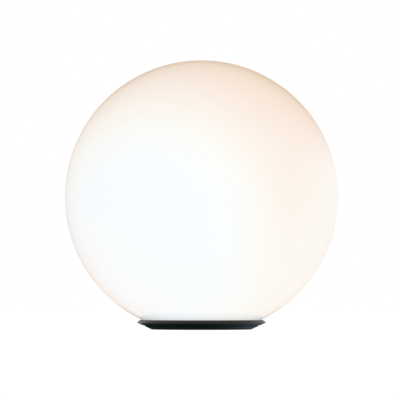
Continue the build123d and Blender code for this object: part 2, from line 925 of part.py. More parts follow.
def make_light_board():
    """The round board that carries the lights."""
    board = rod(light_board_radius, spreader_top, light_board_top)
    for x, y in light_screw_places():
        board -= passage(small_screw, spreader_top, light_board_top, x, y)
    return board


def light_ring(count, radius):
    """A ring of lights, each with its length across the radius."""
    turn = full_turn / count
    light = block(light_width, light_length, light_board_top, light_board_top + light_height, radius)
    return [Rot(0, 0, k * turn) * light for k in range(count)]


def make_lights():
    """Two rings of light-emitting diodes."""
    return gathered(
        light_ring(outer_light_count, outer_light_circle) + light_ring(inner_light_count, inner_light_circle)
    )


def make_light_screws():
    """The three screws that hold the light board and the heat spreader to the deck."""
    return gathered([screw_down(small_screw, light_board_top, x, y) for x, y in light_screw_places()])


def make_dome_gasket():
    """The flat gasket under the dome's flange."""
    gasket = ring(dome_inner_radius, dome_flange_radius, deck_top, dome_gasket_top)
    for x, y in dome_screw_places():
        gasket -= passage(small_screw, deck_top, dome_gasket_top, x, y)
    return gasket


def make_diffuser_dome():
    """The frosted dome over the lights: a shallow cap on a flat flange."""
    centre = Pos(0, 0, dome_centre)
    cap = centre * Sphere(dome_sphere_radius) - centre * Sphere(dome_sphere_radius - dome_wall)
    cap_bottom = dome_flange_top - dome_flange_height / 2
    cap &= rod(dome_radius + fit, cap_bottom, dome_flange_top + dome_height + fit)
    flange = ring(dome_inner_radius, dome_flange_radius, dome_gasket_top, dome_flange_top)
    dome = cap - rod(dome_inner_radius, dome_gasket_top, dome_flange_top) + flange
    for x, y in dome_screw_places():
        dome -= passage(small_screw, dome_gasket_top, dome_flange_top, x, y)
    return dome


def make_dome_screws():
    """The three screws through the dome's flange."""
    return gathered([screw_down(small_screw, dome_flange_top, x, y) for x, y in dome_screw_places()])


# ---------------------------------------------------------------- charging port and its door
def make_port_shell():
    """The metal sleeve of the charging port."""
    outside = pill(port_length, port_width, mouth_height, port_board_bottom, 0, port_y)
    inner_length = port_length - 2 * port_shell_wall
    inner_width = port_width - 2 * port_shell_wall
    return outside - pill(inner_length, inner_width, mouth_height, port_board_bottom, 0, port_y)


def make_port_tongue():
    """The contact tongue inside the port."""
    return block(tongue_length, tongue_thickness, mouth_height + tongue_recess, port_board_bottom, 0, port_y)


def make_port_seal():
    """The soft frame round the port's sleeve, on top of the block that it comes through."""
    top = tower_top + port_seal_height
    length = port_length + 2 * fit
    width = port_width + 2 * fit
    outside = pill(length + 2 * port_seal_width, width + 2 * port_seal_width, tower_top, top, 0, port_y)
    return outside - pill(length, width, tower_top, top, 0, port_y)


def make_port_board():
    """The small board behind the charging port."""
    board = block(port_board_length, port_board_width, port_board_bottom, port_board_top, 0, port_y)
    for x, y in port_post_places():
        board -= passage(small_screw, port_board_bottom, port_board_top, x, y)
    return board


def make_port_board_screws():
    """The two screws of the port board."""
    return gathered([screw_down(small_screw, port_board_top, x, y) for x, y in port_post_places()])


def make_port_door():
    """The soft door over the charging port: a plate, an arm with a knuckle, and a lip that fits the mouth."""
    plate_start = pivot_x + door_arm
    plate_x = (plate_start + door_end) / 2
    plate = block(door_end - plate_start, door_width, door_bottom, door_top, plate_x, port_y)
    plate = fillet(plate.edges().filter_by(Axis.Z), door_corner_radius)
    arm_length = plate_start + fit - pivot_x
    arm_x = pivot_x + arm_length / 2
    arm = block(arm_length, door_knuckle_length, door_bottom, door_top, arm_x, port_y)
    lip_length = door_seal_length - 2 * door_seal_lip
    lip_width = door_seal_width - 2 * door_seal_lip
    lip_top = door_top + door_seal_height
    lip = pill(door_seal_length, door_seal_width, door_top, lip_top, 0, port_y)
    lip -= pill(lip_length, lip_width, door_top, lip_top, 0, port_y)
    door = plate + arm + hinge_place() * Cylinder(door_knuckle_radius, door_knuckle_length) + lip
    return door - hinge_place() * Cylinder(door_pin_radius + door_pin_fit / 2, door_knuckle_length + fit)


def make_door_pin():
    """The steel pin that the door swings on."""
    return hinge_place() * Cylinder(door_pin_radius, door_pin_length)


# ---------------------------------------------------------------- power button and status light
def make_power_button():
    """The round button under the pan, with a flange that keeps it in."""
    stem = rod(button_radius, button_face, button_flange_bottom + fit, 0, button_y)
    stem = fillet(stem.edges().group_by(Axis.Z)[0], button_gap)
    return stem + rod(button_flange_radius, button_flange_bottom, button_flange_top, 0, button_y)


def make_switch_plunger():
    """The plunger between the button and its switch."""
    return rod(plunger_radius, button_flange_top, switch_bottom + plunger_engagement, 0, button_y)


def make_switch_body():
    """The body of the push switch, with the bore that its plunger slides in."""
    body = block(switch_width, switch_width, switch_bottom, button_board_bottom, 0, button_y)
    bore_top = switch_bottom + plunger_bore_depth
    return body - rod(plunger_radius + plunger_gap, switch_bottom, bore_top, 0, button_y)


def make_button_board():
    """The small board that carries the switch and the status light."""
    board = block(button_board_length, button_board_width, button_board_bottom, button_board_top, 0, button_y)
    for x, y in button_post_places():
        board -= passage(small_screw, button_board_bottom, button_board_top, x, y)
    return board


def make_button_board_screws():
    """The two screws of the button board."""
    return gathered([screw_down(small_screw, button_board_top, x, y) for x, y in button_post_places()])


def make_status_light():
    """The small light over the light pipe."""
    bottom = button_board_bottom - status_light_height
    return block(status_light_length, status_light_width, bottom, button_board_bottom, light_pipe_x, button_y)


def make_light_pipe():
    """The clear rod that brings the status light to the underside."""
    top = button_board_bottom - status_light_height - status_light_gap
    flange_top = floor_top + light_pipe_flange_height
    pipe = rod(light_pipe_radius, button_face, top, light_pipe_x, button_y)
    return pipe + rod(light_pipe_flange, floor_top, flange_top, light_pipe_x, button_y)


def make_vent_plug():
    """The breathing plug that lets the module's air pressure level out."""
    head = rod(vent_head_radius, floor_bottom, floor_bottom + vent_head_height, vent_x, vent_y)
    plug = head + rod(vent_radius, floor_bottom, floor_top, vent_x, vent_y)
    return plug - rod(vent_hole_radius, floor_bottom, floor_top, vent_x, vent_y)


# ---------------------------------------------------------------- all the pieces, each in a file of its own
makers = (
    make_globe_shell, make_neck_collar,
    make_foot_ring, make_base_pan, make_rim_ring, make_rim_seal, make_pan_screws,
    make_seat_gasket, make_housing_gasket, make_module_housing, make_collar_o_rings,
    make_spike_socket, make_socket_seal, make_socket_nut,
    make_battery_holder, make_battery_cells, make_cell_tabs, make_cell_pads,
    make_battery_wire_plus, make_battery_wire_minus,
    make_control_board, make_board_chips, make_board_inductor, make_board_capacitors, make_board_screws,
    make_heat_spreader, make_light_board, make_lights, make_light_screws, make_light_wires,
    make_dome_gasket, make_diffuser_dome, make_dome_screws,
    make_port_shell, make_port_tongue, make_port_seal,
    make_port_board, make_port_board_screws, make_port_wires,
    make_port_door, make_door_pin,
    make_power_button, make_switch_plunger, make_switch_body,
    make_button_board, make_button_board_screws, make_button_wires,
    make_status_light, make_light_pipe, make_vent_plug,
)

os.makedirs("parts", exist_ok=True)
for maker in makers:
    export_step(maker(), f"parts/{maker.__name__.removeprefix('make_')}.step")
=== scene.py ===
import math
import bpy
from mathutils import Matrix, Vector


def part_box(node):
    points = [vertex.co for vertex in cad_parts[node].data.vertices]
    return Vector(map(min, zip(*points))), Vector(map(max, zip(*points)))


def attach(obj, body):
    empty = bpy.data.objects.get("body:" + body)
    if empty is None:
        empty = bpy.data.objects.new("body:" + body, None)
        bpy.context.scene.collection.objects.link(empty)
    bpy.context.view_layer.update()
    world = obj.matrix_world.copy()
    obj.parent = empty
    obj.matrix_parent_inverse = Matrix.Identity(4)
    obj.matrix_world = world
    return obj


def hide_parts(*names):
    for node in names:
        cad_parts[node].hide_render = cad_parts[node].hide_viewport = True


bl_info = {
    "name": "Garden globe light",
    "version": (1, 0, 0),
    "blender": (4, 5, 0),
    "location": "View3D > Sidebar > Globe Light",
    "description": "Finishes and shells for an opal globe light on a shallow black saucer",
    "category": "Add Mesh",
}

import bpy
import numpy as np
from bpy.props import FloatProperty, FloatVectorProperty, IntProperty, PointerProperty
from mathutils import Vector

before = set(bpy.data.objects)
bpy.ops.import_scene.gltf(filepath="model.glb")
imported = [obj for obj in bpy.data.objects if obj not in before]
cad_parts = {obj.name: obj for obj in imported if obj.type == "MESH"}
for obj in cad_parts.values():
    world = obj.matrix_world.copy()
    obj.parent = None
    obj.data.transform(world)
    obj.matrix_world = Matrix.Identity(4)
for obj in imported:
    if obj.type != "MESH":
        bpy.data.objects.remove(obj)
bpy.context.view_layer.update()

MM = 0.001
TURN = 2 * math.pi

# Where the frame holds the pieces that are modelled here, and the ones that they fit
ball_low, ball_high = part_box("globe_shell")
rim_low, rim_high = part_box("rim_ring")
seal_low, seal_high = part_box("rim_seal")
button_low, button_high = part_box("power_button")
foot_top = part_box("foot_ring")[1].z
pan_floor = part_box("base_pan")[0].z
collar_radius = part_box("neck_collar")[1].x
cells_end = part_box("battery_cells")[1].x
BALL_CENTRE = ball_high.z - ball_high.x
BUTTON_Y = (button_low.y + button_high.y) / 2


# ---------------------------------------------------------------- what a user would change
def length(name, description, default):
    """A size in metres."""
    return FloatProperty(name=name, description=description, default=default, min=0.0,
                         unit="LENGTH", precision=5)


def colour(name, description, default):
    """A linear colour."""
    return FloatVectorProperty(name=name, description=description, default=default, min=0, max=1, size=3,
                               subtype="COLOR")


def share(name, description, default, most=1.0):
    """A plain number from 0."""
    return FloatProperty(name=name, description=description, default=default, min=0.0, max=most)


class GlobeSizes(bpy.types.PropertyGroup):
    """Sizes of the ball."""

    radius: length("Radius", "Outside of the ball", ball_high.x)
    wall: length("Wall", "Thickness of the opal wall", 2.5 * MM)
    edge_rounding: length("Edge rounding", "Rounding of the cut edge round the opening", 0.9 * MM)
    rings: IntProperty(name="Rings", description="Rings of faces from the opening to the top",
                       default=96, min=16)
    turns: IntProperty(name="Turns", description="Faces round the ball", default=192, min=24)


class BaseSizes(bpy.types.PropertyGroup):
    """Sizes of the saucer's outside, where it is modelled here."""

    foot_radius: length("Foot radius", "Where the sloping outside meets the ground", 54.516 * MM)
    foot_width: length("Foot width", "Width of the rubber ring", 4.5 * MM)
    foot_key_inset: length("Key inset", "From the foot's edge to its key", 0.4 * MM)
    foot_key_width: length("Key width", "Width of the rib that keys the foot into the pan", 2.5 * MM)
    foot_height: length("Foot height", "Height of the pan's floor above the ground", pan_floor)
    tread_depth: length("Tread depth", "Depth of the grooves under the foot", 0.35 * MM)
    tip_height: length("Tip height", "Height of the rim's widest line", 7.3 * MM)
    tip_land: length("Tip land", "Height of the narrow upright face at the rim's tip", 0.5 * MM)
    bevel_width: length("Bevel width", "Width of the bevel on top of the rim", 2.2 * MM)
    seam_gap: length("Seam gap", "Height of the groove between the two tiers", 0.6 * MM)
    seam_depth: length("Seam depth", "Depth of that groove", 1.6 * MM)
    rim_bore: length("Rim bore", "Inside of the rim, round the pan's spigot", collar_radius + 3.5 * MM)
    lip_gap: length("Lip gap", "From the ball to the seal", 0.3 * MM)
    lip_wall: length("Lip wall", "Thickness of the seal against the rim", 0.6 * MM)
    lip_inset: length("Lip inset", "From the rim's bore to the seal's strip", 0.8 * MM)
    corner: length("Corner", "Rounding of the moulded outside corners", 0.3 * MM)
    turns: IntProperty(name="Turns", description="Faces round the base", default=240, min=24)


class GlobeColours(bpy.types.PropertyGroup):
    """Colours of the glowing ball."""

    body: colour("Body", "What the wall scatters of the light that falls on it", (0.12, 0.118, 0.115))
    # Painted shade: the glow dims to this just above the rim, where the rim and collar shade the ball.
    neck: colour("Neck glow", "The glow just above the rim", (0.74, 0.75, 0.75))
    # Painted light: the glow goes towards this pale cool colour low on the ball, standing for light bounced
    # up from below.
    low: colour("Low glow", "What the glow goes towards low on the ball", (0.95, 0.98, 0.985))
    # Painted light: the glow runs through these stops from cool, where the key lamp's cool light is painted,
    # to deep, where the warm lamp's light is painted.
    cool: colour("Cool glow", "The glow in the coolest zone", (0.838, 0.868, 0.895))
    plain: colour("Plain glow", "The glow round that zone", (0.86, 0.86, 0.825))
    mild: colour("Mild glow", "The glow further out", (0.865, 0.81, 0.745))
    warm: colour("Warm glow", "The glow far from that zone", (0.86, 0.755, 0.68))
    deep: colour("Deep glow", "The glow at the warmest place", (0.86, 0.70, 0.58))
    # Painted edge shade: this gloss tint is darker and warmer than the white surround, so the polish paints a
    # shaded line round the ball's edge.
    gloss: colour("Gloss", "Tint of the polished surface at a grazing angle", (0.74, 0.58, 0.45))


class BaseColours(bpy.types.PropertyGroup):
    """Colours of the base and its rubber."""

    pan: colour("Pan", "Lower tier", (0.0025, 0.0065, 0.007))
    rim: colour("Rim", "Upper tier", (0.005, 0.0085, 0.0095))
    worn: colour("Worn edge", "Polished corners", (0.05, 0.056, 0.057))
    foot: colour("Foot", "Rubber foot", (0.028, 0.028, 0.027))
    seal: colour("Seal", "Soft line between the rim and the ball", (0.22, 0.17, 0.135))
    button: colour("Button", "Soft-touch button", (0.06, 0.062, 0.064))
    door: colour("Door", "Silicone door and breathing plug", (0.03, 0.031, 0.032))


class StageSettings(bpy.types.PropertyGroup):
    """Camera, lamps and floor."""

    distance: length("Distance", "From the camera to the ball's middle", 4.0)
    elevation: FloatProperty(name="Elevation", description="Camera's angle above level",
                             default=math.radians(-1.44), subtype="ANGLE")
    ball_pixels: share("Ball in pixels", "Radius of the ball in the 400 pixel frame", 136.6, 400.0)
    ball_x: share("Ball x", "Column of the ball's middle", 201.0, 400.0)
    ball_y: share("Ball y", "Row of the ball's middle", 196.45, 400.0)
    key: share("Key", "Brightness of the key lamp, on the left", 0.9, 100.0)
    fill: share("Fill", "Brightness of the two lamps on the right", 0.9, 100.0)
    sky: share("Sky", "Brightness of the surround as a light", 0.5, 100.0)


# ---------------------------------------------------------------- shader maths
class Signal:
    """A number, colour or vector that runs through a material. Operators on it add Math nodes."""

    def __init__(self, nodes, socket):
        self.nodes = nodes
        self.socket = socket

    def output(self, name):
        """Another output of the same node."""
        return Signal(self.nodes, self.socket.node.outputs[name])

    def __add__(self, other):
        return self.nodes.maths("ADD", self, other)

    def __sub__(self, other):
        return self.nodes.maths("SUBTRACT", self, other)

    def __rsub__(self, other):
        return self.nodes.maths("SUBTRACT", other, self)

    def __mul__(self, other):
        return self.nodes.maths("MULTIPLY", self, other)

    def __truediv__(self, other):
        return self.nodes.maths("DIVIDE", self, other)

    def __rtruediv__(self, other):
        return self.nodes.maths("DIVIDE", other, self)

    def __pow__(self, other):
        return self.nodes.maths("POWER", self, other)

    __radd__ = __add__
    __rmul__ = __mul__


class Nodes:
    """The node tree of a material or of the world."""

    def __init__(self, owner):
        owner.use_nodes = True
        self.owner = owner
        self.tree = owner.node_tree
        self.tree.nodes.clear()

    def add(self, kind, settings=None, inputs=None, output=0):
        """Adds a node of a type. Its settings come first, then its sockets, by place, identifier or name."""
        node = self.tree.nodes.new(kind)
        for name, value in (settings or {}).items():
            if name == "stops":
                set_stops(node.color_ramp, value)
            else:
                setattr(node, name, value)
        for name, value in (inputs or {}).items():
            socket = find_socket(node.inputs, name)
            if isinstance(value, Signal):
                self.tree.links.new(value.socket, socket)
            else:
                socket.default_value = value
        return Signal(self, find_socket(node.outputs, output) if node.outputs else None)

    def maths(self, operation, first, second=0.0):
        """One Math node."""
        values = {"Value": first, "Value_001": second}
        return self.add("ShaderNodeMath", {"operation": operation}, values)

    def place(self):
        """Where a point is on the piece, in metres."""
        return self.add("ShaderNodeTexCoord", output="Object")

    def axes(self):
        """The three parts of that place."""
        x = self.add("ShaderNodeSeparateXYZ", inputs={"Vector": self.place()}, output="X")
        return x, x.output("Y"), x.output("Z")

    def noise(self, size, detail=2.0):
        """Cloudy noise from 0 to 1, with lumps of a size in metres."""
        values = {"Vector": self.place(), "Scale": 1 / size, "Detail": detail}
        return self.add("ShaderNodeTexNoise", inputs=values, output="Fac")

    def streaks(self, per_metre, detail=2.0, distortion=0.0):
        """Noise drawn out into streaks, with so many lumps in a metre along each axis."""
        values = {"Vector": self.place(), "Vector_001": per_metre}
        drawn_out = self.add("ShaderNodeVectorMath", {"operation": "MULTIPLY"}, values)
        values = {"Vector": drawn_out, "Scale": 1.0, "Detail": detail, "Distortion": distortion}
        return self.add("ShaderNodeTexNoise", inputs=values, output="Fac")

    def cells(self, size):
        """Distance to the middle of irregular cells, as a share of their size, which is in metres."""
        values = {"Vector": self.place(), "Scale": 1 / size}
        return self.add("ShaderNodeTexVoronoi", inputs=values, output="Distance")

    def smooth(self, value, low, high, start=0.0, end=1.0):
        """Goes softly from start to end as the value goes from low to high."""
        values = {"Value": value, "From Min": low, "From Max": high, "To Min": start, "To Max": end}
        return self.add("ShaderNodeMapRange", {"interpolation_type": "SMOOTHSTEP"}, values)

    def fade(self, value, low, high):
        """Goes softly from 1 to 0 as the value goes from low to high."""
        return self.smooth(value, low, high, 1.0, 0.0)

    def mix(self, factor, first, second):
        """Goes from one colour to another as the factor goes from 0 to 1."""
        values = {"Factor_Float": factor, "A_Color": rgba(first), "B_Color": rgba(second)}
        return self.add("ShaderNodeMix", {"data_type": "RGBA"}, values, "Result_Color")

    def bump(self, height, depth):
        """A normal from a height of 0 to 1 that stands for a depth in metres."""
        return self.add("ShaderNodeBump", inputs={"Height": height, "Distance": depth})

    def surface(self, **inputs):
        """A Principled surface. Underscores in the names of its inputs stand for spaces."""
        values = {name.replace("_", " "): value for name, value in inputs.items()}
        return self.add("ShaderNodeBsdfPrincipled", inputs=values)

    def finish(self, surface):
        """Ends the tree and returns its owner."""
        is_world = isinstance(self.owner, bpy.types.World)
        kind = "ShaderNodeOutputWorld" if is_world else "ShaderNodeOutputMaterial"
        self.add(kind, inputs={"Surface": surface})
        return self.owner


def find_socket(sockets, key):
    """A socket by its place, identifier or name."""
    if isinstance(key, int):
        return sockets[key]
    for socket in sockets:
        if socket.identifier == key:
            return socket
    return sockets[key]


def set_stops(ramp, stops):
    """Puts (place, colour) stops on a colour ramp."""
    ramp.interpolation = "LINEAR"
    while len(ramp.elements) < len(stops):
        ramp.elements.new(1.0)
    for element, (place, value) in zip(ramp.elements, stops):
        element.position = place
        element.color = rgba(value)


def rgba(value):
    """A colour with its fourth number, or a signal as it is."""
    return value if isinstance(value, Signal) else (*value[:3], 1.0)


def scaled(value, factor):
    """A colour made lighter or darker."""
    return tuple(min(1.0, part * factor) for part in value)


def grey(value):
    """A neutral colour."""
    return (value, value, value)


def new_finish(name):
    """The empty node tree of a new material."""
    return Nodes(bpy.data.materials.new(name))


# ---------------------------------------------------------------- finishes
def moulded(name, base, roughness, pit=0.25 * MM, depth=0.02 * MM, cloud=0.12, worn=None, specular=0.5):
    """Moulded plastic: a fine spark-eroded grain, cloudy gloss and hair scratches. One with a worn colour has
    corners polished by use, where the mesh says how much they stand out."""
    cloud_size, rub_size = 24 * MM, 3 * MM
    nodes = new_finish(name)
    grain = nodes.noise(pit, detail=3.0)
    pits = nodes.cells(pit * 1.7)
    clouds = nodes.noise(cloud_size, detail=4.0)
    hairs = nodes.streaks((900.0, 60.0, 300.0), detail=1.0, distortion=0.6)
    scratch = nodes.smooth(hairs, 0.66, 0.74)
    shade = nodes.mix(clouds, scaled(base, 0.86), scaled(base, 1.14))
    rough = roughness + (clouds - 0.5) * cloud + (grain - 0.5) * 0.08 + scratch * 0.08
    if worn is not None:
        edge = nodes.add("ShaderNodeAttribute", {"attribute_name": "wear"}, output="Fac")
        rubbed = edge * nodes.smooth(nodes.noise(rub_size, detail=4.0), 0.38, 0.72)
        shade = nodes.mix(rubbed, shade, worn)
        rough = rough - rubbed * 0.1
    normal = nodes.bump(grain * 0.6 + pits * 0.4 - scratch * 0.3, depth)
    return nodes.finish(nodes.surface(Base_Color=shade, Roughness=rough, Normal=normal,
                                      Specular_IOR_Level=specular))


def rubbery(name, base, roughness, dust=0.25):
    """Rubber or silicone: matt, finely pitted, with dust caught in its pits."""
    pit, cloud_size = 0.4 * MM, 14 * MM
    nodes = new_finish(name)
    grain = nodes.noise(pit, detail=4.0)
    clouds = nodes.noise(cloud_size, detail=5.0)
    caught = nodes.smooth(clouds + grain * 0.5, 0.7, 1.05) * dust
    dusty = tuple(0.55 * part + 0.09 for part in base)
    shade = nodes.mix(caught, scaled(base, 0.92), dusty)
    rough = roughness + (clouds - 0.5) * 0.2 + caught * 0.2
    return nodes.finish(nodes.surface(Base_Color=shade, Roughness=rough, Normal=nodes.bump(grain, 0.03 * MM),
                                      Specular_IOR_Level=0.35, Sheen_Weight=0.08, Sheen_Roughness=0.5))


def brushed(name, base, roughness, lines_per_metre):
    """Drawn or rolled metal: fine lines one way, with cloudy tarnish."""
    tarnish_size, tarnish = 5 * MM, 0.2
    nodes = new_finish(name)
    lines = nodes.streaks(lines_per_metre, detail=3.0)
    clouds = nodes.noise(tarnish_size, detail=4.0)
    shade = nodes.mix(clouds * tarnish, base, scaled(base, 0.55))
    rough = roughness + (lines - 0.5) * 0.25 + clouds * 0.08
    return nodes.finish(nodes.surface(Base_Color=shade, Metallic=1.0, Roughness=rough,
                                      Normal=nodes.bump(lines, 0.01 * MM)))


def turned_metal(name, base, roughness, pitch=0.35 * MM):
    """Metal turned on a lathe: fine rings about the middle axis, from the sine of the radius."""
    nodes = new_finish(name)
    x, y, _ = nodes.axes()
    radius = (x * x + y * y) ** 0.5
    rings = nodes.maths("SINE", radius * (TURN / pitch)) * 0.5 + 0.5
    smears = nodes.noise(2 * MM, detail=4.0)
    shade = nodes.mix(smears * 0.25, base, scaled(base, 0.7))
    rough = roughness + (smears - 0.5) * 0.2 + rings * 0.06
    return nodes.finish(nodes.surface(Base_Color=shade, Metallic=1.0, Roughness=rough,
                                      Normal=nodes.bump(rings * 0.7 + smears * 0.3, 0.012 * MM)))


def board(name, mask, track):
    """A lacquered circuit board: raised tracks under the lacquer, and small tinned dots."""
    lane, track_edge = 1.3 * MM, (0.25 * MM, 0.35 * MM)
    patch_size, dot_spacing = 7 * MM, 3.1 * MM
    copper_share = 0.5
    tin = (0.55, 0.55, 0.5)
    nodes = new_finish(name)
    x, y, _ = nodes.axes()
    patches = nodes.smooth(nodes.noise(patch_size, detail=0.0), 0.46, 0.54)
    lengthways = patches * nodes.fade(nodes.maths("PINGPONG", x, lane), *track_edge)
    crossways = (1 - patches) * nodes.fade(nodes.maths("PINGPONG", y, lane), *track_edge)
    tracks = (lengthways + crossways) * copper_share
    dots = nodes.fade(nodes.cells(dot_spacing), 0.10, 0.14)
    shade = nodes.mix(dots, nodes.mix(tracks, mask, track), tin)
    rough = 0.32 + nodes.noise(3 * MM, detail=3.0) * 0.15 - dots * 0.1
    normal = nodes.bump(tracks * 0.6 + dots * 0.4, 0.05 * MM)
    return nodes.finish(nodes.surface(Base_Color=shade, Roughness=rough, Metallic=dots * 0.8, Normal=normal))


def cell_sleeve(name, base):
    """A battery cell: a shrink sleeve with a darker band, wrinkled where it is drawn tight near its ends, and
    steel at the ends themselves."""
    steel_end = (cells_end - 0.5 * MM, cells_end - 0.4 * MM)
    drawn_tight = (cells_end - 8 * MM, cells_end - 1 * MM)
    band_place, band_edge = cells_end * 0.62, (2.2 * MM, 2.4 * MM)
    bare_steel = (0.6, 0.6, 0.58)
    nodes = new_finish(name)
    x, _, _ = nodes.axes()
    out = nodes.maths("ABSOLUTE", x)
    steel = nodes.smooth(out, *steel_end)
    tight = nodes.smooth(out, *drawn_tight)
    folds = nodes.streaks((120.0, 900.0, 900.0), detail=3.0, distortion=0.5)
    band = nodes.fade(nodes.maths("ABSOLUTE", out - band_place), *band_edge)
    shade = nodes.mix(steel, nodes.mix(band, base, scaled(base, 0.35)), bare_steel)
    rough = 0.24 + folds * 0.12 + steel * 0.1
    normal = nodes.bump(folds * tight + nodes.noise(0.5 * MM) * 0.15, 0.15 * MM)
    return nodes.finish(nodes.surface(Base_Color=shade, Roughness=rough, Metallic=steel, Normal=normal))


def foam(name, base):
    """Open-cell foam. Its pores are darker than their walls: painted shade in the hollows."""
    nodes = new_finish(name)
    pores = nodes.smooth(nodes.cells(0.9 * MM), 0.2, 0.6)
    # Painted shade: darker in the middle of each pore, where the bump dents it.
    shade = nodes.mix(pores, scaled(base, 0.4), scaled(base, 1.5))
    return nodes.finish(nodes.surface(Base_Color=shade, Roughness=0.85 + pores * 0.1,
                                      Normal=nodes.bump(pores, 0.3 * MM)))


def glowing(name, base, light, strength, grain):
    """A lit, finely grained surface."""
    nodes = new_finish(name)
    spots = nodes.noise(grain, detail=3.0)
    shade = nodes.mix(spots, scaled(base, 0.85), base)
    glow = nodes.mix(spots, scaled(light, 0.8), light)
    return nodes.finish(nodes.surface(Base_Color=shade, Roughness=0.3 + spots * 0.2, Emission_Color=glow,
                                      Emission_Strength=strength, Normal=nodes.bump(spots, 0.02 * MM)))


def clear_plastic(name, tint):
    """A polished clear rod, with faint flow lines."""
    nodes = new_finish(name)
    flow = nodes.streaks((800.0, 800.0, 120.0))
    shade = nodes.mix(flow, tint, scaled(tint, 0.93))
    return nodes.finish(nodes.surface(Base_Color=shade, Roughness=0.04 + flow * 0.06,
                                      Transmission_Weight=0.85, IOR=1.49,
                                      Normal=nodes.bump(flow, 0.01 * MM)))


def painted_lamp_warmth(nodes, side, lift, clouds):
    """How warm the ball's glow is painted, from 0 to about 1, by places in radii from its middle. It is 0 in
    a tall oval at the lower left, painted cool light from the key lamp's side, and grows with the distance
    from there, half as much at the right edge. The upper right shoulder is a little warmer, painted warm
    light from the lamp on that side, and so are the clouds."""
    oval_side, oval_lift, oval_tallness = -0.41, -0.37, 0.83
    oval_edge, right_edge, shoulder_edge = (0.5, 1.25), (0.5, 1.0), (0.6, 1.2)
    oval_share, shoulder_share, cloud_share = 0.67, 0.32, 0.02
    across = side - oval_side
    up = lift - oval_lift
    from_the_oval = (across * across + up * up * oval_tallness) ** 0.5
    halved = nodes.smooth(side - lift * 0.3, *right_edge, 1.0, 0.5)
    shoulder = nodes.smooth(side * 0.6 + lift, *shoulder_edge) * shoulder_share
    warmth = nodes.smooth(from_the_oval, *oval_edge) * halved * oval_share
    return warmth + shoulder + (clouds - 0.5) * cloud_share


def opal_glow(name, colours, radius):
    """The lit ball. Its glow is cool where the warmth is 0 and warm where it is 1, painted cool and warm
    light of the lamps. It goes towards a pale colour low down, painted light from below, and dims at the
    neck, painted shade of the rim and collar. Over it lies a polish that mirrors the surroundings at a
    grazing angle, most of all at the top; its darker, warm tint paints the shaded line round the ball's edge."""
    cloud_size, ripple_size = 60 * MM, 9 * MM
    neck_shade_edge, polish_edge = (-0.915, -0.86), (0.2, 1.0)
    stops = [(0.0, colours.cool), (0.22, colours.plain), (0.44, colours.mild), (0.67, colours.warm),
             (1.0, colours.deep)]
    nodes = new_finish(name)
    x, _, z = nodes.axes()
    side = x / radius
    lift = (z - BALL_CENTRE) / radius
    # How far a point is below the middle, with a soft start
    fallen = ((lift * lift + 0.1) ** 0.5 - lift) * 0.5
    clouds = nodes.noise(cloud_size)
    # Painted light: the cool zone stands for the key lamp's cool light on the lower left, the warm zones for
    # the warm lamp's light towards the upper right.
    warmth = painted_lamp_warmth(nodes, side, lift, clouds)
    glow = nodes.add("ShaderNodeValToRGB", {"stops": stops}, {"Fac": warmth}, "Color")
    # Painted light: the glow pales towards a cool colour low on the ball, standing for light bounced up from
    # below.
    glow = nodes.mix(fallen * 0.3, glow, colours.low)
    # Painted shade: the glow dims just above the rim, where the rim and collar shade the ball.
    glow = nodes.mix(nodes.smooth(lift, *neck_shade_edge), colours.neck, glow)
    ripple = nodes.bump(nodes.noise(ripple_size, detail=1.0), 0.01 * MM)
    milk = nodes.mix(clouds, scaled(colours.body, 0.97), colours.body)
    inner = nodes.surface(Base_Color=milk, Roughness=0.35 + clouds * 0.08, Emission_Color=glow,
                          Emission_Strength=1.0, Specular_IOR_Level=0.0, Normal=ripple)
    # The polish is real gloss, but its tint is darker and warmer than the white surround it mirrors, so it
    # paints a shaded warm line round the edge.
    gloss = {"Color": rgba(colours.gloss), "Roughness": 0.08, "Normal": ripple}
    polish = nodes.add("ShaderNodeBsdfGlossy", inputs=gloss)
    edge = nodes.add("ShaderNodeFresnel", inputs={"IOR": 1.5})
    # Painted edge shade: the tinted polish's share is set by place, weakest low on the left and strongest at
    # the top, which sets where that shaded line is darkest.
    low_polish = 0.3 - side * 0.3 + fallen * 0.4
    top_polish = 2.0 + side * 0.3
    gloss_and_edge_shade = nodes.smooth(lift, *polish_edge, low_polish, top_polish)
    return nodes.finish(nodes.add("ShaderNodeMixShader", inputs={0: edge * gloss_and_edge_shade, 1: inner, 2: polish}))


# ---------------------------------------------------------------- shapes
def arc(centre, radius, start, end, count):
    """Points of an arc in the (radius, height) plane: centre + radius (cos a, sin a), a from start to end."""
    angle = np.linspace(start, end, count)
    return np.column_stack([centre[0] + radius * np.cos(angle), centre[1] + radius * np.sin(angle)])


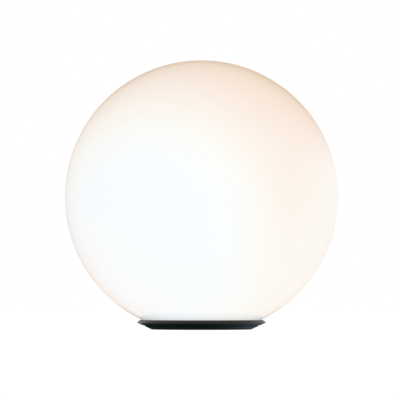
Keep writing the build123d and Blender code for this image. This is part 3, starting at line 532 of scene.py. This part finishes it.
def rounded(corners, radii, steps=6):
    """A closed outline with round corners, run anticlockwise. The arc at a corner touches both of its sides,
    at radius x tan(turn / 2) from the corner. Its points are the arc's centre plus a spoke that turns evenly
    from one side to the other. A support point stands on each side just beside the arc, so that the flat
    stays flat. Returns the points, and how much each one stands out on a corner, from 0 to 1."""
    support = 0.4
    corners = np.asarray(corners, float)
    points = []
    wear = []
    neighbours = zip(np.roll(corners, 1, axis=0), corners, np.roll(corners, -1, axis=0), radii)
    for before, corner, after, radius in neighbours:
        if radius == 0:
            points.append(corner[None])
            wear.append(np.zeros(1))
            continue
        arriving = (corner - before) / np.linalg.norm(corner - before)
        leaving = (after - corner) / np.linalg.norm(after - corner)
        cross = arriving[0] * leaving[1] - arriving[1] * leaving[0]
        turn = math.atan2(cross, arriving @ leaving)
        inward = math.copysign(1.0, turn) * np.array([-arriving[1], arriving[0]])
        reach = radius * math.tan(abs(turn) / 2)
        centre = corner - reach * arriving + radius * inward
        angle = np.linspace(0, turn, steps + 1)
        cos, sin = np.cos(angle), np.sin(angle)
        spoke = np.column_stack([-inward[0] * cos + inward[1] * sin, -inward[0] * sin - inward[1] * cos])
        start = corner - (reach + support * radius) * arriving
        end = corner + (reach + support * radius) * leaving
        points.append(np.vstack([start, centre + radius * spoke, end]))
        bulge = np.sin(np.linspace(0, math.pi, steps + 1)) if turn > 0 else np.zeros(steps + 1)
        wear.append(np.concatenate([[0.0], bulge, [0.0]]))
    return np.vstack(points), np.concatenate(wear)


def carry_round(profile, count, y=0.0):
    """Carries a closed (radius, height) profile round an upright axis at (0, y). Point i of ring j stands at
    (r_i cos t_j, y + r_i sin t_j, z_i), with t_j = 2 pi j / count. A point on the axis is a single pole.
    Returns the points, the quads, the triangles round the poles, and each point's place in the profile."""
    radius, height = profile.T
    turn = np.linspace(0, TURN, count, endpoint=False)
    tall = np.broadcast_to(height, (count, len(height)))
    grid = np.stack([np.outer(np.cos(turn), radius), y + np.outer(np.sin(turn), radius), tall], axis=-1)
    index = np.arange(grid[..., 0].size).reshape(tall.shape)
    on_axis = radius == 0
    index[:, on_axis] = index[0, on_axis]
    beside = np.roll(index, -1, axis=0)
    quads = np.stack([index, beside, np.roll(beside, -1, axis=1), np.roll(index, -1, axis=1)], axis=-1)
    next_on_axis = np.roll(on_axis, -1)
    full = quads[:, ~on_axis & ~next_on_axis].reshape(-1, 4)
    from_pole = quads[:, on_axis & ~next_on_axis][..., [0, 2, 3]].reshape(-1, 3)
    to_pole = quads[:, ~on_axis & next_on_axis][..., [0, 1, 2]].reshape(-1, 3)
    triangles = np.vstack([from_pole, to_pole])
    used, renamed = np.unique(np.concatenate([full.ravel(), triangles.ravel()]), return_inverse=True)
    full = renamed[: full.size].reshape(-1, 4)
    triangles = renamed[full.size:].reshape(-1, 3)
    return grid.reshape(-1, 3)[used], full, triangles, used % len(radius)


def add_turned_piece(name, outline, count, material, body, nodes, y=0.0):
    """Makes a piece from an outline carried round an axis, and puts it in the frame."""
    profile, wear = outline
    points, quads, triangles, place = carry_round(profile, count, y)
    mesh = bpy.data.meshes.new(name)
    mesh.from_pydata(points.tolist(), [], quads.tolist() + triangles.tolist())
    mesh.shade_smooth()
    attribute = mesh.attributes.new("wear", "FLOAT", "POINT")
    attribute.data.foreach_set("value", wear[place].astype(np.float32))
    mesh.materials.append(material)
    piece = bpy.data.objects.new(name, mesh)
    bpy.context.scene.collection.objects.link(piece)
    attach(piece, body)
    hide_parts(*nodes)


def dress(material, *nodes):
    """Gives fixed pieces of the frame a finish."""
    for node in nodes:
        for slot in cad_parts[node].material_slots:
            slot.material = material


def slope_radius(sizes, height):
    """Radius of the base's straight sloping outside, from the foot's edge to the rim's tip."""
    return sizes.foot_radius + (rim_high.x - sizes.foot_radius) * height / sizes.tip_height


def seal_radius(sizes, height):
    """Radius at which the seal faces the ball, one gap outside it."""
    return math.sqrt((ball_high.x + sizes.lip_gap) ** 2 - (BALL_CENTRE - height) ** 2)


def ball_outline(sizes):
    """Outline of the ball's wall: up the outer arc to the top, and back down the inner one to the opening."""
    centre = (0.0, BALL_CENTRE)
    opening = math.sqrt(sizes.radius**2 - (BALL_CENTRE - ball_low.z) ** 2)
    inner_radius = sizes.radius - sizes.wall
    outer_start = -math.acos(opening / sizes.radius)
    inner_start = -math.acos(opening / inner_radius)
    top = math.pi / 2
    outer = arc(centre, sizes.radius, outer_start, top, sizes.rings)
    inner = arc(centre, inner_radius, top, inner_start, sizes.rings // 2)
    outer[-1, 0] = 0.0
    inner[0, 0] = 0.0
    corners = np.vstack([outer, inner])
    radii = np.zeros(len(corners))
    radii[[0, -1]] = sizes.edge_rounding
    return rounded(corners, radii)


def rim_outline(sizes):
    """Outline of the upper tier, from its bore round the groove, the tip and the bevel to the shelf."""
    bottom = rim_low.z
    overhang = bottom + sizes.seam_gap
    groove = slope_radius(sizes, bottom) - sizes.seam_depth
    lip = seal_radius(sizes, rim_high.z) + sizes.lip_wall
    corners = [
        (sizes.rim_bore, bottom),
        (groove, bottom),
        (groove, overhang),
        (slope_radius(sizes, overhang), overhang),
        (rim_high.x, sizes.tip_height),
        (rim_high.x, sizes.tip_height + sizes.tip_land),
        (rim_high.x - sizes.bevel_width, rim_high.z),
        (lip, rim_high.z),
        (lip, seal_low.z),
        (sizes.rim_bore, seal_low.z),
    ]
    small = sizes.corner / 2
    return rounded(corners, [small, 0, 0, small, small, small, sizes.corner, small, 0, small])


def seal_outline(sizes):
    """Outline of the soft lip: its strip in the rim's shelf, its bead, and the hollow that follows the
    ball."""
    hollow_points = 8
    soft = 0.25 * MM
    inner = sizes.rim_bore + sizes.lip_inset
    lip = seal_radius(sizes, rim_high.z) + sizes.lip_wall
    reach = ball_high.x + sizes.lip_gap
    high_angle = -math.asin((BALL_CENTRE - seal_high.z) / reach)
    low_angle = -math.acos(inner / reach)
    hollow = arc((0.0, BALL_CENTRE), reach, high_angle, low_angle, hollow_points)
    corners = [(inner, seal_low.z), (lip, seal_low.z), (lip, rim_high.z), (seal_high.x, rim_high.z),
               (seal_high.x, seal_high.z), *hollow]
    return rounded(corners, [0, 0, 0, soft / 2, soft, soft / 2] + [0] * (hollow_points - 1))


def foot_outline(sizes):
    """Outline of the rubber foot: three shallow grooves underneath, and the rib that keys it into the pan."""
    grooves = 3
    groove_shape = ((0.0, 0.0), (0.2, sizes.tread_depth), (0.8, sizes.tread_depth), (1.0, 0.0))
    inner = sizes.foot_radius - sizes.foot_width
    key = sizes.foot_radius - sizes.foot_key_inset
    land = sizes.foot_width / (2 * grooves + 1)
    corners = [(inner, 0.0)]
    for groove in range(grooves):
        start = inner + (2 * groove + 1) * land
        corners += [(start + across * land, height) for across, height in groove_shape]
    corners += [
        (sizes.foot_radius, 0.0),
        (slope_radius(sizes, sizes.foot_height), sizes.foot_height),
        (key, sizes.foot_height),
        (key, foot_top),
        (key - sizes.foot_key_width, foot_top),
        (key - sizes.foot_key_width, sizes.foot_height),
        (inner, sizes.foot_height),
    ]
    fine, soft, key_corner = 0.06 * MM, 0.15 * MM, 0.2 * MM
    round_the_grooves = [fine] * len(groove_shape) * grooves
    radii = [soft, *round_the_grooves, soft, fine, 0, key_corner, key_corner, 0, fine]
    return rounded(corners, radii, steps=4)


def button_outline():
    """Outline of the round button: a dished face inside a raised rim, its stem and the flange that keeps it
    in."""
    stem = 6.0 * MM
    flange_height = 0.8 * MM
    dish = 0.45 * MM
    rim = 1.0 * MM
    soft = 0.2 * MM
    dish_points = 12
    fall = np.linspace(0, 1, dish_points)
    hollow = np.column_stack([(stem - rim) * fall, button_low.z + dish * (1 - fall**2)])
    flange_low = button_high.z - flange_height
    corners = [*hollow, (stem, button_low.z), (stem, flange_low), (button_high.x, flange_low),
               (button_high.x, button_high.z), (0.0, button_high.z)]
    return rounded(corners, [0] * (dish_points - 1) + [soft, 1.5 * soft, 0, soft, soft, 0])


# ---------------------------------------------------------------- operators
class PieceOperator(bpy.types.Operator):
    """What the operators share."""

    bl_options = {"REGISTER", "UNDO"}


class GLOBELIGHT_OT_ball(PieceOperator):
    """Models the opal ball."""

    bl_idname = "globelight.ball"
    bl_label = "Opal ball"

    def execute(self, context):
        sizes = context.scene.globe_sizes
        material = opal_glow("opal_glow", context.scene.globe_colours, sizes.radius)
        add_turned_piece("opal_ball", ball_outline(sizes), sizes.turns, material, "globe",
                         ["globe_shell"])
        return {"FINISHED"}


class GLOBELIGHT_OT_rim(PieceOperator):
    """Models the bevelled upper tier of the base."""

    bl_idname = "globelight.rim"
    bl_label = "Bevelled rim"

    def execute(self, context):
        sizes = context.scene.base_sizes
        colours = context.scene.base_colours
        material = moulded("rim_plastic", colours.rim, 0.34, depth=0.008 * MM, worn=colours.worn,
                           specular=0.25)
        add_turned_piece("bevelled_rim", rim_outline(sizes), sizes.turns, material, "base",
                         ["rim_ring"])
        return {"FINISHED"}


class GLOBELIGHT_OT_seal(PieceOperator):
    """Models the soft lip between the rim and the ball."""

    bl_idname = "globelight.seal"
    bl_label = "Rim seal"

    def execute(self, context):
        sizes = context.scene.base_sizes
        material = rubbery("seal_rubber", context.scene.base_colours.seal, 0.6)
        add_turned_piece("soft_lip", seal_outline(sizes), sizes.turns, material, "base",
                         ["rim_seal"])
        return {"FINISHED"}


class GLOBELIGHT_OT_foot(PieceOperator):
    """Models the rubber foot with its tread."""

    bl_idname = "globelight.foot"
    bl_label = "Rubber foot"

    def execute(self, context):
        sizes = context.scene.base_sizes
        material = rubbery("foot_rubber_worn", context.scene.base_colours.foot, 0.82, dust=0.4)
        add_turned_piece("treaded_foot", foot_outline(sizes), sizes.turns, material, "base",
                         ["foot_ring"])
        return {"FINISHED"}


class GLOBELIGHT_OT_pan(PieceOperator):
    """Finishes the pan under the rim."""

    bl_idname = "globelight.pan"
    bl_label = "Base pan"

    def execute(self, context):
        dress(moulded("pan_plastic", context.scene.base_colours.pan, 0.4, pit=0.35 * MM), "base_pan")
        return {"FINISHED"}


class GLOBELIGHT_OT_button(PieceOperator):
    """Models the dished power button and finishes what it presses."""

    bl_idname = "globelight.button"
    bl_label = "Power button"

    def execute(self, context):
        turns = 96
        material = moulded("button_soft_touch", context.scene.base_colours.button, 0.6, pit=0.2 * MM,
                           worn=grey(0.13), specular=0.35)
        add_turned_piece("dished_button", button_outline(), turns, material, "button",
                         ["power_button"], y=BUTTON_Y)
        dress(moulded("plunger_nylon", grey(0.02), 0.45), "switch_plunger")
        return {"FINISHED"}


class GLOBELIGHT_OT_seals(PieceOperator):
    """Finishes the gaskets and rubber rings."""

    bl_idname = "globelight.seals"
    bl_label = "Gaskets and rings"

    def execute(self, context):
        silicone = rubbery("gasket_silicone_grey", (0.5, 0.5, 0.48), 0.7, dust=0.1)
        greased = rubbery("greased_rubber", grey(0.02), 0.35, dust=0.05)
        dress(silicone, "seat_gasket", "housing_gasket", "dome_gasket", "port_seal")
        dress(greased, "collar_o_rings", "socket_seal")
        return {"FINISHED"}


class GLOBELIGHT_OT_housing(PieceOperator):
    """Finishes the white housing and the ball's collar."""

    bl_idname = "globelight.housing"
    bl_label = "Housing and collar"

    def execute(self, context):
        white = moulded("satin_white_plastic", (0.78, 0.78, 0.755), 0.42, pit=0.4 * MM, depth=0.012 * MM,
                        cloud=0.08)
        dress(white, "module_housing", "neck_collar")
        return {"FINISHED"}


class GLOBELIGHT_OT_dome(PieceOperator):
    """Finishes the frosted dome."""

    bl_idname = "globelight.dome"
    bl_label = "Frosted dome"

    def execute(self, context):
        frosted = glowing("frosted_plastic", (0.85, 0.84, 0.8), (0.6, 0.56, 0.48), strength=0.8,
                          grain=0.3 * MM)
        dress(frosted, "diffuser_dome")
        return {"FINISHED"}


class GLOBELIGHT_OT_fasteners(PieceOperator):
    """Finishes the screws and the socket's nut."""

    bl_idname = "globelight.fasteners"
    bl_label = "Fasteners"

    def execute(self, context):
        steel = brushed("zinc_plate", (0.58, 0.59, 0.6), 0.34, (1400.0, 1400.0, 300.0))
        dress(steel, "pan_screws", "board_screws", "light_screws", "dome_screws", "port_board_screws",
              "button_board_screws")
        dress(turned_metal("turned_brass", (0.68, 0.5, 0.24), 0.28), "socket_nut")
        return {"FINISHED"}


class GLOBELIGHT_OT_socket(PieceOperator):
    """Finishes the socket for a ground spike."""

    bl_idname = "globelight.socket"
    bl_label = "Spike socket"

    def execute(self, context):
        nylon = moulded("socket_nylon", (0.03, 0.03, 0.032), 0.5, pit=0.5 * MM, depth=0.03 * MM)
        dress(nylon, "spike_socket")
        return {"FINISHED"}


class GLOBELIGHT_OT_battery(PieceOperator):
    """Finishes the cells, their holder, tabs and pads."""

    bl_idname = "globelight.battery"
    bl_label = "Battery"

    def execute(self, context):
        nickel = brushed("rolled_nickel", (0.62, 0.6, 0.55), 0.3, (200.0, 2500.0, 2500.0))
        dress(moulded("holder_plastic_black", grey(0.045), 0.5), "battery_holder")
        dress(cell_sleeve("cell_shrink_sleeve", (0.05, 0.2, 0.5)), "battery_cells")
        dress(nickel, "cell_tabs")
        dress(foam("foam_black", grey(0.06)), "cell_pads")
        return {"FINISHED"}


class GLOBELIGHT_OT_wires(PieceOperator):
    """Finishes the insulated wires."""

    bl_idname = "globelight.wires"
    bl_label = "Wires"

    def execute(self, context):
        sleeve = {"roughness": 0.38, "pit": 0.6 * MM}
        dress(moulded("wire_red", (0.6, 0.03, 0.03), **sleeve), "battery_wire_plus", "port_wires")
        dress(moulded("wire_black", grey(0.02), **sleeve), "battery_wire_minus")
        dress(moulded("wire_white", (0.75, 0.75, 0.72), **sleeve), "light_wires", "button_wires")
        return {"FINISHED"}


class GLOBELIGHT_OT_boards(PieceOperator):
    """Finishes the circuit boards and what is soldered to them."""

    bl_idname = "globelight.boards"
    bl_label = "Boards"

    def execute(self, context):
        lacquered = board("green_circuit_board", (0.015, 0.15, 0.055), (0.05, 0.32, 0.12))
        epoxy = moulded("chip_epoxy", (0.022, 0.022, 0.023), 0.55, pit=0.12 * MM)
        ferrite = moulded("ferrite_grey", (0.085, 0.085, 0.088), 0.6, pit=0.3 * MM, depth=0.05 * MM)
        can = brushed("capacitor_can_satin", (0.6, 0.6, 0.62), 0.3, (300.0, 300.0, 2500.0))
        dress(lacquered, "control_board", "port_board", "button_board")
        dress(epoxy, "board_chips", "port_tongue")
        dress(ferrite, "board_inductor")
        dress(can, "board_capacitors")
        return {"FINISHED"}


class GLOBELIGHT_OT_light_plate(PieceOperator):
    """Finishes the light board, its lights and the plate that spreads their heat."""

    bl_idname = "globelight.light_plate"
    bl_label = "Light plate"

    def execute(self, context):
        phosphor = glowing("phosphor", (0.9, 0.78, 0.4), (1.0, 0.86, 0.62), strength=1.0, grain=0.15 * MM)
        aluminium = turned_metal("milled_aluminium", (0.75, 0.75, 0.77), 0.34, pitch=0.6 * MM)
        dress(board("white_circuit_board", (0.82, 0.82, 0.79), (0.72, 0.72, 0.68)), "light_board")
        dress(aluminium, "heat_spreader")
        dress(phosphor, "lights")
        return {"FINISHED"}


class GLOBELIGHT_OT_port(PieceOperator):
    """Finishes the charging port, its door and pin, the switch and the breathing plug."""

    bl_idname = "globelight.port"
    bl_label = "Charging port"

    def execute(self, context):
        steel = brushed("drawn_steel", (0.56, 0.56, 0.57), 0.28, (400.0, 400.0, 2500.0))
        silicone = rubbery("door_silicone_black", context.scene.base_colours.door, 0.65, dust=0.15)
        dress(steel, "port_shell", "switch_body", "door_pin")
        dress(silicone, "port_door", "vent_plug")
        return {"FINISHED"}


class GLOBELIGHT_OT_status(PieceOperator):
    """Finishes the status light and the clear rod under it."""

    bl_idname = "globelight.status"
    bl_label = "Status light"

    def execute(self, context):
        lit = glowing("status_green", (0.3, 0.8, 0.35), (0.1, 0.7, 0.15), strength=1.0, grain=0.2 * MM)
        dress(lit, "status_light")
        dress(clear_plastic("clear_rod", (0.86, 0.92, 0.9)), "light_pipe")
        return {"FINISHED"}


def add_lamp(name, place, size, power, tint):
    """A square soft lamp at a place, turned towards the ball's middle. Polished surfaces don't mirror it."""
    light = bpy.data.lights.new(name, "AREA")
    light.shape = "SQUARE"
    light.size = size
    light.energy = power
    light.color = tint
    lamp = bpy.data.objects.new(name, light)
    lamp.location = place
    towards_the_ball = Vector((0.0, 0.0, BALL_CENTRE)) - Vector(place)
    lamp.rotation_euler = towards_the_ball.to_track_quat("-Z", "Y").to_euler()
    lamp.visible_glossy = False
    bpy.context.scene.collection.objects.link(lamp)


def mirrored_floor(nodes):
    """The floor's colour in polished surfaces, by places in metres from the object's middle: painted
    reflections of light and shade. It is dark under the base, painted shade, less so to the right, painted
    light from that side. From there out come a cool ring, a painted cool reflection, a warm pool, painted
    light of the ball's own glow, and a pale floor. A strip behind the object is in its painted shade."""
    base_edge, ring_edge, pool_edge = (0.064, 0.076), (0.07, 0.078), (0.3, 1.0)
    cool, warm, pale = (0.55, 0.78, 0.84), (1.0, 0.86, 0.72), grey(0.8)
    right_edge, least, rightward = (0.05, 0.6), 0.06, 3
    shade_start, shade_end, shade_slant = (-0.165, -0.08), (0.15, 0.4), 2
    shade_side, shade_depth = (0.08, 0.14), 0.75
    x, y, _ = nodes.axes()
    away = (x * x + y * y) ** 0.5
    # Painted light: the shaded floor under the base is lighter towards the right.
    to_the_right = nodes.smooth(away + x * rightward, *right_edge, least, 1.0)
    lit = nodes.maths("MAXIMUM", nodes.smooth(away, *base_edge), to_the_right)
    wide = nodes.maths("MAXIMUM", nodes.maths("ABSOLUTE", x), shade_side[0])
    shade = nodes.smooth(y - wide * shade_slant, *shade_start)
    shade = shade * nodes.smooth(wide, *shade_side, shade_depth, 0.0)
    lit = lit * (1 - shade * nodes.fade(y, *shade_end))
    pool = nodes.mix(nodes.smooth(away, *pool_edge), warm, pale)
    pool = nodes.mix(nodes.smooth(away, *ring_edge), cool, pool)
    return nodes.mix(lit, grey(0.0), pool)


def floor_finish():
    """A white floor that shows from above only. The lens sees it as bright as the surround, with the object's
    faint shadow, and polished surfaces see mirrored_floor. A path that has come up through the floor doesn't
    meet it again, so the underside is lit."""
    white, strength, bright_share = grey(0.88), 1.25, 0.86
    nodes = new_finish("studio_floor")
    path = nodes.add("ShaderNodeLightPath", output="Is Camera Ray")
    mirrored = path.output("Is Glossy Ray")
    speckle = nodes.mix(nodes.noise(4 * MM), grey(0.8), grey(0.82))
    paper = nodes.add("ShaderNodeBsdfDiffuse", inputs={"Color": speckle})
    glow = nodes.mix(mirrored, white, mirrored_floor(nodes))
    bright = nodes.add("ShaderNodeEmission", inputs={"Color": glow, "Strength": strength})
    bright_part = path * bright_share + mirrored
    seen = nodes.add("ShaderNodeMixShader", inputs={0: bright_part, 1: paper, 2: bright})
    behind = nodes.add("ShaderNodeNewGeometry", output="Backfacing")
    came_through = nodes.maths("GREATER_THAN", path.output("Transparent Depth"), 0.5)
    hidden = nodes.maths("MAXIMUM", behind, came_through)
    clear = nodes.add("ShaderNodeBsdfTransparent")
    return nodes.finish(nodes.add("ShaderNodeMixShader", inputs={0: hidden, 1: seen, 2: clear}))


class GLOBELIGHT_OT_stage(PieceOperator):
    """Sets up the floor, the surround, the lamps and the camera."""

    bl_idname = "globelight.stage"
    bl_label = "Stage"

    def execute(self, context):
        settings = context.scene.stage_settings
        self.add_floor()
        self.light_surround(context.scene, settings)
        add_lamp("key_lamp", place=(-1.6, -2.0, 1.0), size=1.4, power=30 * settings.key,
                 tint=(0.95, 0.98, 1.0))
        add_lamp("warm_lamp", place=(1.8, -1.2, 1.4), size=1.2, power=24 * settings.fill,
                 tint=(1.0, 0.95, 0.9))
        add_lamp("low_lamp", place=(1.5, -1.9, 0.1), size=1.2, power=7 * settings.fill,
                 tint=(0.96, 1.0, 1.0))
        self.add_camera(context.scene, settings)
        context.scene.view_settings.view_transform = "Standard"
        return {"FINISHED"}

    def add_floor(self):
        """A flat square, one face."""
        half = 6.0
        corners = [(-half, -half, 0), (half, -half, 0), (half, half, 0), (-half, half, 0)]
        mesh = bpy.data.meshes.new("floor")
        mesh.from_pydata(corners, [], [(0, 1, 2, 3)])
        mesh.materials.append(floor_finish())
        floor = bpy.data.objects.new("floor", mesh)
        bpy.context.scene.collection.objects.link(floor)

    def light_surround(self, scene, settings):
        """White to the lens, in mirrors and through glass, and softer as a light."""
        nodes = Nodes(bpy.data.worlds.new("surround"))
        scene.world = nodes.owner
        path = nodes.add("ShaderNodeLightPath", output="Is Camera Ray")
        shown = nodes.maths("MAXIMUM", path, path.output("Is Glossy Ray"))
        shown = nodes.maths("MAXIMUM", shown, path.output("Is Transmission Ray"))
        strength = settings.sky + shown * (1 - settings.sky)
        white = rgba(grey(1.0))
        nodes.finish(nodes.add("ShaderNodeBackground", inputs={"Color": white, "Strength": strength}))

    def add_camera(self, scene, settings):
        """Looks along +Y. The ball's middle is a few pixels off the frame's middle, and so is the aim."""
        frame_pixels = 400
        pixel = ball_high.x / settings.ball_pixels
        right = settings.ball_x - (frame_pixels - 1) / 2
        down = settings.ball_y - (frame_pixels - 1) / 2
        aim = Vector((-right * pixel, 0.0, BALL_CENTRE + down * pixel))
        back = Vector((0.0, -math.cos(settings.elevation), math.sin(settings.elevation)))
        data = bpy.data.cameras.new("camera")
        edge_angle = math.asin(ball_high.x / settings.distance)
        data.lens = settings.ball_pixels / math.tan(edge_angle) * data.sensor_width / frame_pixels
        data.clip_start = 0.1
        data.clip_end = 50.0
        camera = bpy.data.objects.new("camera", data)
        camera.location = aim + back * settings.distance
        camera.rotation_euler = (-back).to_track_quat("-Z", "Y").to_euler()
        scene.collection.objects.link(camera)
        scene.camera = camera


PIECE_OPERATORS = (
    GLOBELIGHT_OT_ball, GLOBELIGHT_OT_rim, GLOBELIGHT_OT_seal, GLOBELIGHT_OT_foot, GLOBELIGHT_OT_pan,
    GLOBELIGHT_OT_button, GLOBELIGHT_OT_seals, GLOBELIGHT_OT_housing, GLOBELIGHT_OT_dome,
    GLOBELIGHT_OT_fasteners, GLOBELIGHT_OT_socket, GLOBELIGHT_OT_battery, GLOBELIGHT_OT_wires,
    GLOBELIGHT_OT_boards, GLOBELIGHT_OT_light_plate, GLOBELIGHT_OT_port, GLOBELIGHT_OT_status,
    GLOBELIGHT_OT_stage,
)

GROUPS = {
    "globe_sizes": GlobeSizes,
    "base_sizes": BaseSizes,
    "globe_colours": GlobeColours,
    "base_colours": BaseColours,
    "stage_settings": StageSettings,
}


class GLOBELIGHT_PT_panel(bpy.types.Panel):
    """Lists the pieces of the light, and its sizes and colours."""

    bl_idname = "GLOBELIGHT_PT_panel"
    bl_label = "Garden globe light"
    bl_space_type = "VIEW_3D"
    bl_region_type = "UI"
    bl_category = "Globe Light"

    def draw(self, context):
        for operator in PIECE_OPERATORS:
            self.layout.operator(operator.bl_idname)
        for group in GROUPS:
            for name in GROUPS[group].__annotations__:
                self.layout.prop(getattr(context.scene, group), name)


def register():
    """Registers the classes and hangs the settings on the scene."""
    for name, group in GROUPS.items():
        bpy.utils.register_class(group)
        setattr(bpy.types.Scene, name, PointerProperty(type=group))
    for operator in PIECE_OPERATORS:
        bpy.utils.register_class(operator)
    bpy.utils.register_class(GLOBELIGHT_PT_panel)


def unregister():
    """Takes all of it away again."""
    bpy.utils.unregister_class(GLOBELIGHT_PT_panel)
    for operator in reversed(PIECE_OPERATORS):
        bpy.utils.unregister_class(operator)
    for name, group in GROUPS.items():
        delattr(bpy.types.Scene, name)
        bpy.utils.unregister_class(group)


def main():
    """Makes the whole light, piece by piece."""
    register()
    for operator in PIECE_OPERATORS:
        group, name = operator.bl_idname.split(".")
        getattr(getattr(bpy.ops, group), name)()


if __name__ == "__main__":
    main()
